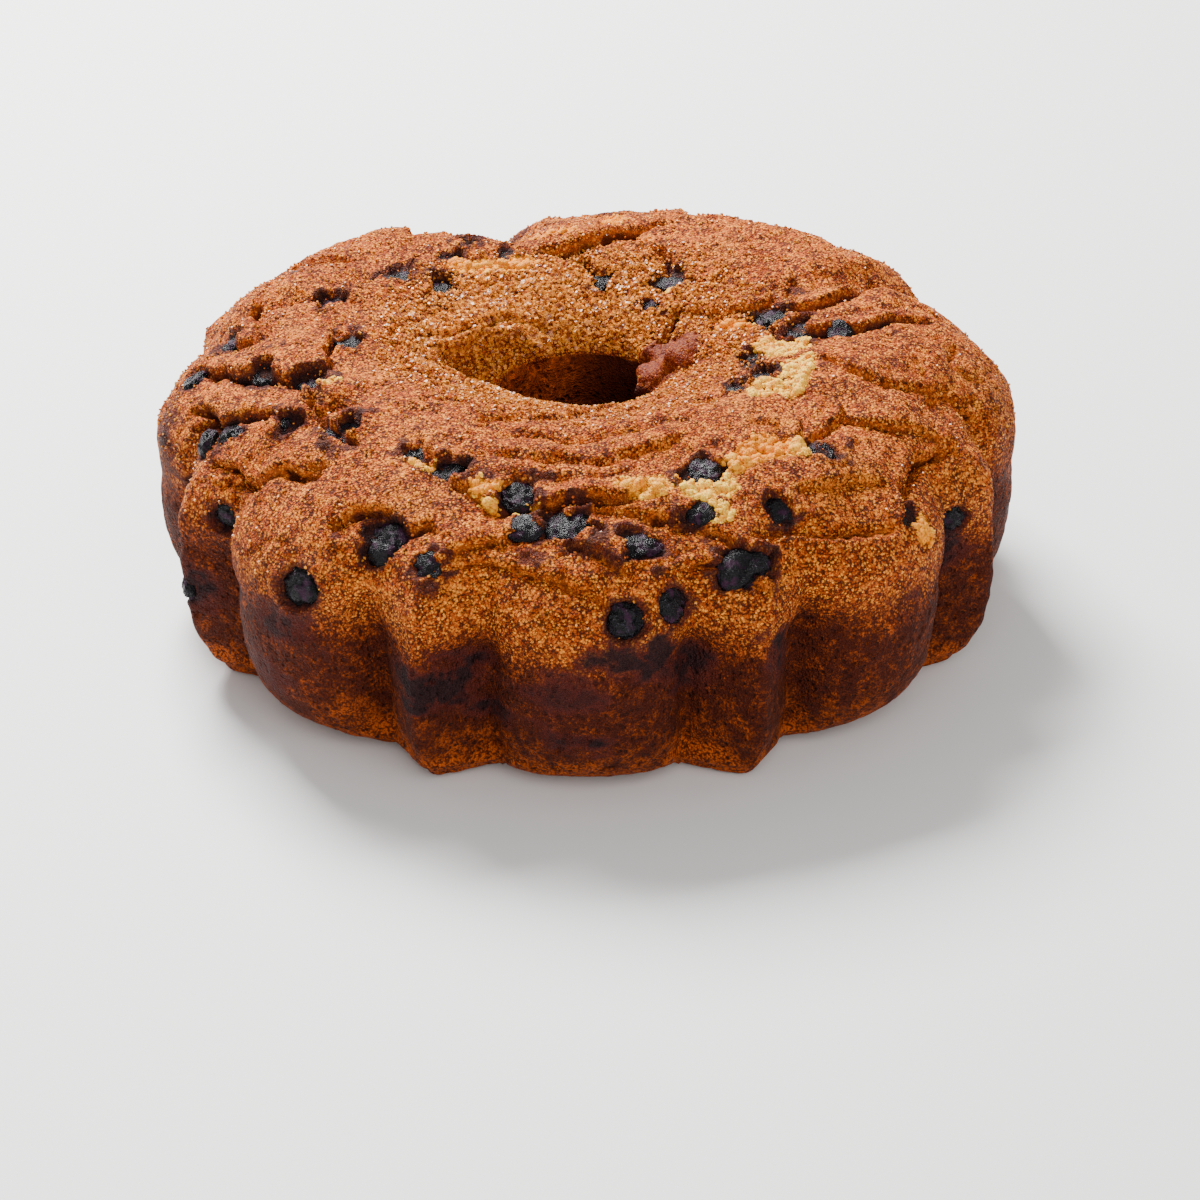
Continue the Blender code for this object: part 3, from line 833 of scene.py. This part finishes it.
def crust_material(wanted):
    """Baked cake crust: dry, rough sugar and flour that breaks light up grain by grain."""
    made, tree, shader = new_material("Baked cinnamon sugar crust", IOR=1.45, Specular_IOR_Level=0.14)
    place = add_node(tree, "TexCoord", output="Object")
    blotches, mottle, grain, fine = (
        add_node(tree, "TexNoise", {"Vector": place, "Scale": 1 / (size * MM), **NOISE})
        for size in (18, 4, 1.2, 0.45)
    )
    crown_share, rim, band, low, inside, pocket, deep, opened_and_painted_shade, bare, tone, juice, glazed = (
        add_node(tree, "Attribute", output="Fac", attribute_name=name) for name in LAYERS
    )
    bent = {0: mottle.node.outputs["Color"], 1: (1.5 * MM,) * 3, 2: place}
    bent = add_node(tree, "VectorMath", bent, operation="MULTIPLY_ADD")
    grit = add_node(tree, "TexVoronoi", {"Vector": bent, "Scale": 1 / (0.62 * MM)})
    shade = grit.node.outputs["Color"]
    speck = add_node(tree, "Math", {0: shade, 1: grain}, operation="ADD")
    pores = add_node(tree, "TexVoronoi", {"Vector": bent, "Scale": 1 / (2.1 * MM)})
    uneven = {"Value": mottle, "From Min": 0.36, "From Max": 0.6, "To Min": 1.12, "To Max": 0.8}
    uneven = add_node(tree, "MapRange", uneven)
    # Dark edges round each grain: partly cinnamon between the grains, partly painted shade in the hollows
    # between their bumps.
    gaps = add_node(tree, "Math", {0: grit, 1: uneven}, operation="MULTIPLY")
    crown = coated(
        tree,
        wanted.baked,
        (grain, 0.54, 0.38, 0.8, wanted.toasted),
        (mottle, 0.52, 0.72, 0.32, wanted.golden),
        (blotches, 0.5, 0.68, 0.25, wanted.golden),
        (mottle, 0.48, 0.32, 0.75, wanted.toasted),
        (blotches, 0.48, 0.32, 0.45, wanted.toasted),
        (rim, 0.0, 1.0, 0.3, wanted.pan_side),
        (speck, 1.02, 1.34, 0.9, wanted.golden),
        (speck, 0.88, 0.62, 0.85, wanted.toasted),
        (gaps, 0.36, 0.66, 0.9, wanted.burnt_and_painted_shade),
    )
    wall = coated(
        tree,
        wanted.pan_side,
        (grain, 0.56, 0.4, 0.75, wanted.pan_dark),
        (low, 0.0, 1.0, 0.7, wanted.pan_low),
        (speck, 1.04, 1.34, 0.8, wanted.pan_low),
        (speck, 0.9, 0.62, 0.8, wanted.pan_dark),
        (gaps, 0.36, 0.66, 0.85, wanted.burnt_and_painted_shade),
        # Painted shade in the wall's pores.
        (pores, 0.3, 0.14, 0.8, wanted.burnt_and_painted_shade),
    )
    banded = add_node(tree, "MapRange", {"Value": mottle, "From Min": 0.7, "From Max": 0.35, "To Min": 0.4})
    banded = add_node(tree, "Math", {0: banded, 1: band}, operation="MULTIPLY")
    wall = coated(tree, wall, (banded, 0, 1, 0.92, wanted.pan_dark))
    hollow = coated(
        tree,
        wanted.pan_side,
        (grain, 0.5, 0.62, 0.7, wanted.baked),
        # Dark in the pores: painted shade in the pits.
        (pores, 0.4, 0.2, 0.8, wanted.pan_dark),
        # Painted shade: darker lower down the hole and away from its lit side.
        (deep, 0.0, 1.0, 0.95, wanted.burnt_and_painted_shade),
    )
    split = add_node(tree, "MapRange", {"Value": mottle, "From Min": 0.3, "From Max": 0.6, "To Min": 0.75})
    split = add_node(tree, "Math", {0: split, 1: opened_and_painted_shade}, operation="MULTIPLY")
    soaked = add_node(tree, "MapRange", {"Value": mottle, "From Min": 0.32, "From Max": 0.55, "To Min": 0.5})
    soaked = add_node(tree, "Math", {0: soaked, 1: juice}, operation="MULTIPLY")
    # The crumb seen between the lumps: partly its own yolk and rust tones, partly painted shade in the gaps
    # between the lumps.
    crumb = coated(tree, wanted.yolk, (mottle, 0.5, 0.36, 0.7, wanted.rust), (tone, 1, 0, 0.4, wanted.cream))
    base = coated(
        tree,
        wall,
        (crown_share, 0, 1, 1, crown),
        (inside, 0, 1, 1, hollow),
        (pocket, 0, 1, 0.35, hollow),
        # Rust is the torn crust inside the cracks; the burnt brown deep in them and under each ledge is
        # painted shade.
        (split, 0.15, 0.5, 0.45, wanted.rust),
        (split, 0.4, 0.85, 0.94, wanted.burnt_and_painted_shade),
        (bare, 0, 1, 1, crumb),
        (glazed, 0, 1, 0.8, wanted.glaze),
        (soaked, 0.0, 0.45, 0.8, wanted.blush),
        (soaked, 0.35, 0.8, 0.88, wanted.juice),
    )
    tree.links.new(base, shader.inputs["Base Color"])
    wet = add_node(tree, "Math", {0: soaked, 1: 0.5, 2: glazed}, operation="MULTIPLY_ADD")
    dull = add_node(tree, "MapRange", {"Value": wet, "To Min": 0.72, "To Max": 0.56})
    tree.links.new(dull, shader.inputs["Roughness"])
    pits = {"Value": pores, "From Min": 0.1, "From Max": 0.34, "To Min": -1.1, "To Max": 0}
    pits = add_node(tree, "MapRange", pits)
    off_crown = add_node(tree, "Math", {0: 1.0, 1: crown_share}, operation="SUBTRACT")
    height = add_node(tree, "Math", {0: grit, 1: -0.55, 2: grain}, operation="MULTIPLY_ADD")
    height = add_node(tree, "Math", {0: fine, 1: 0.4, 2: height}, operation="MULTIPLY_ADD")
    height = add_node(tree, "Math", {0: pits, 1: off_crown, 2: height}, operation="MULTIPLY_ADD")
    smooth = add_node(tree, "MapRange", {"Value": glazed, "To Min": 1, "To Max": 0.5})
    bump = {"Height": height, "Strength": smooth, "Distance": 1.15 * MM}
    tree.links.new(add_node(tree, "Bump", bump), shader.inputs["Normal"])
    return made


class BUNDT_PG_berries(bpy.types.PropertyGroup):
    wrinkle: FloatProperty(
        name="Wrinkle",
        description="Height of the skin's wrinkles over the berry's width",
        default=0.2,
        min=0,
    )
    skin: colour("Skin", "Baked skin in its hollows", "07060A")
    # Partly the berry's own bloom, partly a painted highlight on the wrinkles' crests.
    bloom_and_painted_highlight: colour("Bloom", "Skin on the wrinkles' crests", "383044")
    purple: colour("Purple", "Where the flesh shows through", "3A1432")


def berry_mesh(seat, wrinkle):
    """A berry that has dried in the oven: flat, sunken and wrinkled."""
    bm = bmesh.new()
    bmesh.ops.create_icosphere(bm, subdivisions=4, radius=1)
    mesh = bpy.data.meshes.new(f"berry_skin_{seat.seed:02d}")
    bm.to_mesh(mesh)
    bm.free()
    ball = positions(mesh) * MM
    shift = seat.seed * 7.7
    folds = 1 - np.abs(lumps(ball * (1, 1.5, 0.7) + shift, 0.42, 70, 2))
    fine = 1 - np.abs(lumps(ball + shift, 0.17, 71))
    top = smooth_step(-0.1, 0.7, ball[:, 2])
    crests = folds * 0.72 + fine * 0.28
    reach = 1 + wrinkle * 2 * (crests - 0.75) * (0.3 + 0.7 * top)
    reach += (0.05 if seat.on_wall else 0.24) * lumps(ball + shift, 1.2, 72)
    local = ball * reach[:, None]
    sunken = smooth_step(0.95, 0.2, np.hypot(ball[:, 0], ball[:, 1]))
    flat = 0.64 if seat.on_wall else 0.52
    dent = 0.04 if seat.on_wall else 0.12 + 0.2 * lumps(ball + shift, 0.9, 73)
    local[:, 2] = local[:, 2] * flat - top * sunken * dent
    local[:, 2] -= 0 if seat.on_wall else 0.24
    half = seat.width / 2 * 0.98
    sideways = local[:, :1] * seat.along * seat.stretch + local[:, 1:2] * seat.across
    set_positions(mesh, seat.middle + half * (sideways + local[:, 2:] * seat.facing))
    mesh.shade_smooth()
    paint(mesh, "crests", np.clip(crests, 0, 1))
    return mesh


class BUNDT_OT_berries(bpy.types.Operator):
    """Builds a wrinkled skin for each berry that shows in the crust"""

    bl_idname = "bundt.berries"
    bl_label = "Blueberries"

    def execute(self, context):
        wanted = context.scene.bundt_berries
        whole = bpy.data.meshes["crust"]
        points, normals = positions(whole), directions(whole)
        skin = berry_material(wanted)
        for name in BERRIES:
            seat = Seat(name, points, normals)
            mesh = berry_mesh(seat, wanted.wrinkle)
            piece = add_piece(context, mesh.name, mesh, skin)
            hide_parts(name)
        return {"FINISHED"}


def berry_material(wanted):
    """Baked blueberry skin: nearly black, taut and wet, so that each wrinkle catches a glint."""
    made, tree, shader = new_material("Baked blueberry skin", IOR=1.38, Specular_IOR_Level=0.32)
    place = add_node(tree, "TexCoord", output="Object")
    mottle, wrinkles, fine = (
        add_node(tree, "TexNoise", {"Vector": place, "Scale": 1 / (size * MM), **NOISE}, noise_type=kind)
        for size, kind in ((3, "FBM"), (1.3, "RIDGED_MULTIFRACTAL"), (0.5, "FBM"))
    )
    crests = add_node(tree, "Attribute", output="Fac", attribute_name="crests")
    # Lighter on the crests: partly bloom, partly painted highlight.
    crest_bloom_and_highlight = add_node(tree, "Math", {0: crests, 1: fine}, operation="MULTIPLY")
    base = coated(
        tree,
        wanted.skin,
        (mottle, 0.5, 0.66, 0.7, wanted.purple),
        (crest_bloom_and_highlight, 0.44, 0.62, 0.8, wanted.bloom_and_painted_highlight),
    )
    tree.links.new(base, shader.inputs["Base Color"])
    dull = {"Value": mottle, "From Min": 0.35, "From Max": 0.65, "To Min": 0.14, "To Max": 0.42}
    dull = add_node(tree, "MapRange", dull)
    tree.links.new(dull, shader.inputs["Roughness"])
    height = add_node(tree, "Math", {0: wrinkles, 1: 0.4, 2: fine}, operation="MULTIPLY_ADD")
    bump = add_node(tree, "Bump", {"Height": height, "Strength": 1.0, "Distance": 0.6 * MM})
    tree.links.new(bump, shader.inputs["Normal"])
    return made


# ---- loose grains ----------------------------------------------------------------------------


def scattered(name, grain, count, weights, mesh, sizes, sink, seed):
    """count copies of a grain's mesh, laid on a mesh's faces where the weights are high."""
    rng = np.random.default_rng(seed)
    corners = np.empty(len(mesh.polygons) * 4, dtype=np.int64)
    mesh.polygons.foreach_get("vertices", corners)
    corners = corners.reshape(-1, 4)
    points, normals = positions(mesh), directions(mesh)
    area = np.empty(len(mesh.polygons))
    mesh.polygons.foreach_get("area", area)
    share = area * weights[corners].mean(axis=1)
    corners_of = corners[rng.choice(len(corners), count, p=share / share.sum())]
    u, v = rng.random((2, count, 1))
    blend = np.stack(((1 - u) * (1 - v), u * (1 - v), u * v, (1 - u) * v), axis=1)
    place = (points[corners_of] * blend).sum(axis=1)
    facing = (normals[corners_of] * blend).sum(axis=1)
    thick = (weights[corners_of] * blend[:, :, 0]).sum(axis=1, keepdims=True) / weights.max()
    width = sizes[0] + (sizes[1] - sizes[0]) * rng.random((count, 1)) * (0.3 + 0.7 * thick)
    turned = random_turns(rng, count)
    verts = positions(grain) * MM
    shape = verts[None] * rng.uniform(0.7, 1.15, (count, 1, 3)) * width[:, :, None]
    laid = np.einsum("nij,nkj->nki", turned, shape)
    laid += (place + facing * width * (0.5 - sink))[:, None]
    loops = np.array([tuple(face.vertices) for face in grain.polygons])
    faces = loops[None] + (np.arange(count) * len(verts))[:, None, None]
    result = bpy.data.meshes.new(name)
    result.from_pydata((laid.reshape(-1, 3) * MM).tolist(), [], faces.reshape(-1, loops.shape[1]).tolist())
    result.update()
    tone = (read_layer(mesh, "tone")[corners_of] * blend[:, :, 0]).sum(axis=1)
    paint(result, "tone", np.repeat(tone, len(verts)))
    return result


def random_turns(rng, count):
    """Rotation matrices spread evenly over all turns."""
    q = rng.normal(size=(count, 4))
    w, x, y, z = (q / np.linalg.norm(q, axis=1, keepdims=True)).T
    rows = (
        (1 - 2 * (y * y + z * z), 2 * (x * y - z * w), 2 * (x * z + y * w)),
        (2 * (x * y + z * w), 1 - 2 * (x * x + z * z), 2 * (y * z - x * w)),
        (2 * (x * z - y * w), 2 * (y * z + x * w), 1 - 2 * (x * x + y * y)),
    )
    return np.moveaxis(np.array([list(row) for row in rows]), -1, 0)


def read_layer(mesh, name):
    values = np.empty(len(mesh.vertices))
    mesh.attributes[name].data.foreach_get("value", values)
    return values


class BUNDT_PG_sugar(bpy.types.PropertyGroup):
    count: IntProperty(name="Crystals", description="Number of sugar crystals", default=16400, min=0)
    smallest: length("Smallest", "Width of the smallest crystals", 0.4)
    largest: length("Largest", "Width of the largest crystals", 1.0)
    clear: colour("Sugar", "Clear crystals with the crust under them", "DE8E30")
    dusted: colour("Dusted sugar", "Crystals dusted with cinnamon", "843C0C")


class BUNDT_OT_sugar(bpy.types.Operator):
    """Scatters the sugar crystals over the crown, thickest round the hole"""

    bl_idname = "bundt.sugar"
    bl_label = "Sugar"

    def execute(self, context):
        wanted = context.scene.bundt_sugar
        crust = bpy.data.objects["crown"].data
        bm = bmesh.new()
        bmesh.ops.create_cube(bm, size=1)
        crystal = bpy.data.meshes.new("crystal")
        bm.to_mesh(crystal)
        bm.free()
        sizes = (wanted.smallest / MM, wanted.largest / MM)
        weights = read_layer(crust, "sugared")
        mesh = scattered("sugar", crystal, wanted.count, weights, crust, sizes, 0.12, 3)
        add_piece(context, "sugar", mesh, sugar_material(wanted))
        return {"FINISHED"}


def sugar_material(wanted):
    """Sugar crystals: clear, with flat faces that flash, stained by cinnamon and caramel."""
    made, tree, shader = new_material("Coarse sugar crystals", Roughness=0.34, Specular_IOR_Level=0.3)
    shader.inputs["Subsurface Weight"].default_value = 0.25
    shader.inputs["Subsurface Radius"].default_value = (1.0, 0.7, 0.4)
    shader.inputs["Subsurface Scale"].default_value = 0.6 * MM
    place = add_node(tree, "TexCoord", output="Object")
    tint = add_node(tree, "TexNoise", {"Vector": place, "Scale": 1 / (1.3 * MM), **NOISE})
    base = coated(tree, wanted.dusted, (tint, 0.4, 0.6, 1, wanted.clear))
    tree.links.new(base, shader.inputs["Base Color"])
    return made


class BUNDT_PG_crumbs(bpy.types.PropertyGroup):
    count: IntProperty(name="Crumbs", description="Number of crumbs", default=1700, min=0)
    smallest: length("Smallest", "Width of the smallest crumbs", 0.4)
    largest: length("Largest", "Width of the largest crumbs", 1.2)


class BUNDT_OT_crumbs(bpy.types.Operator):
    """Scatters crumbs of crust over the crown, most along its cracks"""

    bl_idname = "bundt.crumbs"
    bl_label = "Crumbs"

    def execute(self, context):
        wanted = context.scene.bundt_crumbs
        crust = bpy.data.objects["crown"].data
        bm = bmesh.new()
        bmesh.ops.create_icosphere(bm, subdivisions=1, radius=0.5)
        crumb = bpy.data.meshes.new("crumb")
        bm.to_mesh(crumb)
        bm.free()
        sizes = (wanted.smallest / MM, wanted.largest / MM)
        opened_and_painted_shade = read_layer(crust, "opened_and_painted_shade")
        clear = (1 - read_layer(crust, "juice")) * (1 - read_layer(crust, "bare"))
        near_berry = smooth_step(0.1, 0.4, read_layer(crust, "juice"))
        weights = read_layer(crust, "crown") * (clear * (0.1 + opened_and_painted_shade) + 0.35 * near_berry)
        mesh = scattered("crumbs", crumb, wanted.count, weights, crust, sizes, 0.42, 5)
        mesh.shade_smooth()
        finish = crumb_material(context.scene.bundt_crust)
        add_piece(context, "crumbs", mesh, finish)
        return {"FINISHED"}


def crumb_material(wanted):
    """Crumbs of the same crust, a little paler where they broke."""
    made, tree, shader = new_material("Crust crumbs", Roughness=0.8, IOR=1.45)
    place = add_node(tree, "TexCoord", output="Object")
    tone, fine = (
        add_node(tree, "TexNoise", {"Vector": place, "Scale": 1 / (size * MM), **NOISE})
        for size in (1.6, 0.4)
    )
    base = coated(
        tree,
        wanted.toasted,
        (tone, 0.36, 0.56, 1, wanted.baked),
        (tone, 0.54, 0.68, 0.8, wanted.golden),
    )
    tree.links.new(base, shader.inputs["Base Color"])
    bump = add_node(tree, "Bump", {"Height": fine, "Strength": 0.8, "Distance": 0.4 * MM})
    tree.links.new(bump, shader.inputs["Normal"])
    return made


class BUNDT_PG_curds(bpy.types.PropertyGroup):
    count: IntProperty(name="Curds", description="Number of lumps of torn crumb", default=2000, min=0)
    smallest: length("Smallest", "Width of the smallest lumps", 0.7)
    largest: length("Largest", "Width of the largest lumps", 3.1)


class BUNDT_OT_curds(bpy.types.Operator):
    """Fills the torn places with lumps of pale and yolk yellow crumb"""

    bl_idname = "bundt.curds"
    bl_label = "Torn crumb"

    def execute(self, context):
        wanted = context.scene.bundt_curds
        crust = bpy.data.objects["crown"].data
        bm = bmesh.new()
        bmesh.ops.create_cube(bm, size=1)
        bmesh.ops.subdivide_edges(bm, edges=bm.edges, cuts=1, smooth=1, use_grid_fill=True)
        curd = bpy.data.meshes.new("curd")
        bm.to_mesh(curd)
        bm.free()
        ball = positions(curd)
        away = np.linalg.norm(ball, axis=1, keepdims=True)
        set_positions(curd, ball / away * 500 * (1 + 0.35 * lumps(ball * MM, 0.45, 80, 2))[:, None])
        sizes = (wanted.smallest / MM, wanted.largest / MM)
        weights = smooth_step(0.5, 0.9, read_layer(crust, "bare"))
        mesh = scattered("torn_crumb", curd, wanted.count, weights, crust, sizes, 0.66, 9)
        mesh.shade_smooth()
        add_piece(context, "torn_crumb", mesh, curd_material(context.scene.bundt_crust))
        return {"FINISHED"}


def curd_material(wanted):
    """Torn crumb: soft, moist and slightly see-through, so that its lumps glow at their edges."""
    made, tree, shader = new_material("Torn cake crumb", IOR=1.42, Specular_IOR_Level=0.2)
    shader.inputs["Subsurface Weight"].default_value = 0.15
    shader.inputs["Subsurface Radius"].default_value = (1.0, 0.6, 0.25)
    shader.inputs["Subsurface Scale"].default_value = 1.0 * MM
    place = add_node(tree, "TexCoord", output="Object")
    mottle, fine = (
        add_node(tree, "TexNoise", {"Vector": place, "Scale": 1 / (size * MM), **NOISE})
        for size in (2.6, 0.6)
    )
    tone = add_node(tree, "Attribute", output="Fac", attribute_name="tone")
    base = coated(
        tree,
        wanted.cream,
        (tone, 0, 1, 1, wanted.yolk),
        (mottle, 0.5, 0.38, 0.7, wanted.yolk),
        (mottle, 0.56, 0.7, 0.6, wanted.rust),
        (fine, 0.5, 0.36, 0.8, wanted.rust),
    )
    tree.links.new(base, shader.inputs["Base Color"])
    bump = add_node(tree, "Bump", {"Height": fine, "Strength": 0.9, "Distance": 0.6 * MM})
    tree.links.new(bump, shader.inputs["Normal"])
    return made


# ---- the stage -------------------------------------------------------------------------------


class BUNDT_PG_stage(bpy.types.PropertyGroup):
    lens: FloatProperty(name="Lens", description="The camera's focal length in millimetres", default=126)
    tilt: FloatProperty(
        name="Tilt",
        description="How far the camera looks down",
        default=radians(29.43),
        subtype="ANGLE",
    )
    roll: FloatProperty(
        name="Roll",
        description="The camera's turn about its own axis",
        default=radians(-0.694),
        subtype="ANGLE",
    )
    place: FloatVectorProperty(
        name="Camera",
        description="Where the camera stands",
        default=(2.98 * MM, -995.5 * MM, 559.6 * MM),
        subtype="TRANSLATION",
    )
    floor: colour("Floor", "The pale floor", "E9E8E6")


class BUNDT_OT_stage(bpy.types.Operator):
    """Sets up the camera, the soft lights and the pale floor"""

    bl_idname = "bundt.stage"
    bl_label = "Stage"

    def execute(self, context):
        wanted = context.scene.bundt_stage
        add_camera(context, wanted)
        add_light(context, "window", (-0.35, 0.75, 0.95), 0.55, 62)
        add_light(context, "fill", (0.3, -1.2, 0.75), 1.2, 15)
        add_floor(context, wanted)
        world = bpy.data.worlds.new("studio")
        context.scene.world = world
        world.use_nodes = True
        sky = world.node_tree.nodes["Background"]
        sky.inputs["Color"].default_value = (1, 1, 1, 1)
        sky.inputs["Strength"].default_value = 0.55
        return {"FINISHED"}


def add_camera(context, wanted):
    data = bpy.data.cameras.new("camera")
    data.lens = wanted.lens
    data.sensor_width = 36
    data.clip_end = 20
    camera = bpy.data.objects.new("camera", data)
    context.scene.collection.objects.link(camera)
    down = Matrix.Rotation(pi / 2 - wanted.tilt, 4, "X")
    camera.matrix_world = Matrix.Translation(wanted.place) @ down @ Matrix.Rotation(wanted.roll, 4, "Z")
    context.scene.camera = camera


def add_light(context, name, place, size, power):
    """A square soft light that faces the cake."""
    data = bpy.data.lights.new(name, "AREA")
    data.size = size
    data.energy = power
    light = bpy.data.objects.new(name, data)
    context.scene.collection.objects.link(light)
    light.location = place
    away = Vector(place) - Vector((0, 0, 0.05))
    light.rotation_euler = away.to_track_quat("Z", "Y").to_euler()


def add_floor(context, wanted):
    bm = bmesh.new()
    bmesh.ops.create_grid(bm, x_segments=1, y_segments=1, size=4)
    mesh = bpy.data.meshes.new("floor")
    bm.to_mesh(mesh)
    bm.free()
    made, tree, shader = new_material("Matte white board", Roughness=0.6)
    shader.inputs["Base Color"].default_value = (*wanted.floor, 1)
    mesh.materials.append(made)
    floor = bpy.data.objects.new("floor", mesh)
    context.scene.collection.objects.link(floor)


# ---- the add-on ------------------------------------------------------------------------------

GROUPS = {
    "bundt_crust": BUNDT_PG_crust,
    "bundt_berries": BUNDT_PG_berries,
    "bundt_sugar": BUNDT_PG_sugar,
    "bundt_crumbs": BUNDT_PG_crumbs,
    "bundt_curds": BUNDT_PG_curds,
    "bundt_stage": BUNDT_PG_stage,
}
OPERATORS = (
    BUNDT_OT_crust,
    BUNDT_OT_berries,
    BUNDT_OT_sugar,
    BUNDT_OT_crumbs,
    BUNDT_OT_curds,
    BUNDT_OT_stage,
)


class BUNDT_PT_panel(bpy.types.Panel):
    """Lists the cake's settings and the steps that build it"""

    bl_idname = "BUNDT_PT_panel"
    bl_label = "Bundt cake"
    bl_space_type = "VIEW_3D"
    bl_region_type = "UI"
    bl_category = "Cake"

    def draw(self, context):
        for (name, group), operator in zip(GROUPS.items(), OPERATORS):
            box = self.layout.box()
            for prop in group.__annotations__:
                box.prop(getattr(context.scene, name), prop)
            box.operator(operator.bl_idname)


def register():
    for name, group in GROUPS.items():
        bpy.utils.register_class(group)
        setattr(bpy.types.Scene, name, PointerProperty(type=group))
    for made in (*OPERATORS, BUNDT_PT_panel):
        bpy.utils.register_class(made)


def unregister():
    for made in reversed((*OPERATORS, BUNDT_PT_panel)):
        bpy.utils.unregister_class(made)
    for name, group in GROUPS.items():
        delattr(bpy.types.Scene, name)
        bpy.utils.unregister_class(group)


def main():
    register()
    bpy.ops.bundt.crust()
    bpy.ops.bundt.berries()
    bpy.ops.bundt.sugar()
    bpy.ops.bundt.crumbs()
    bpy.ops.bundt.curds()
    bpy.ops.bundt.stage()


if __name__ == "__main__":
    main()
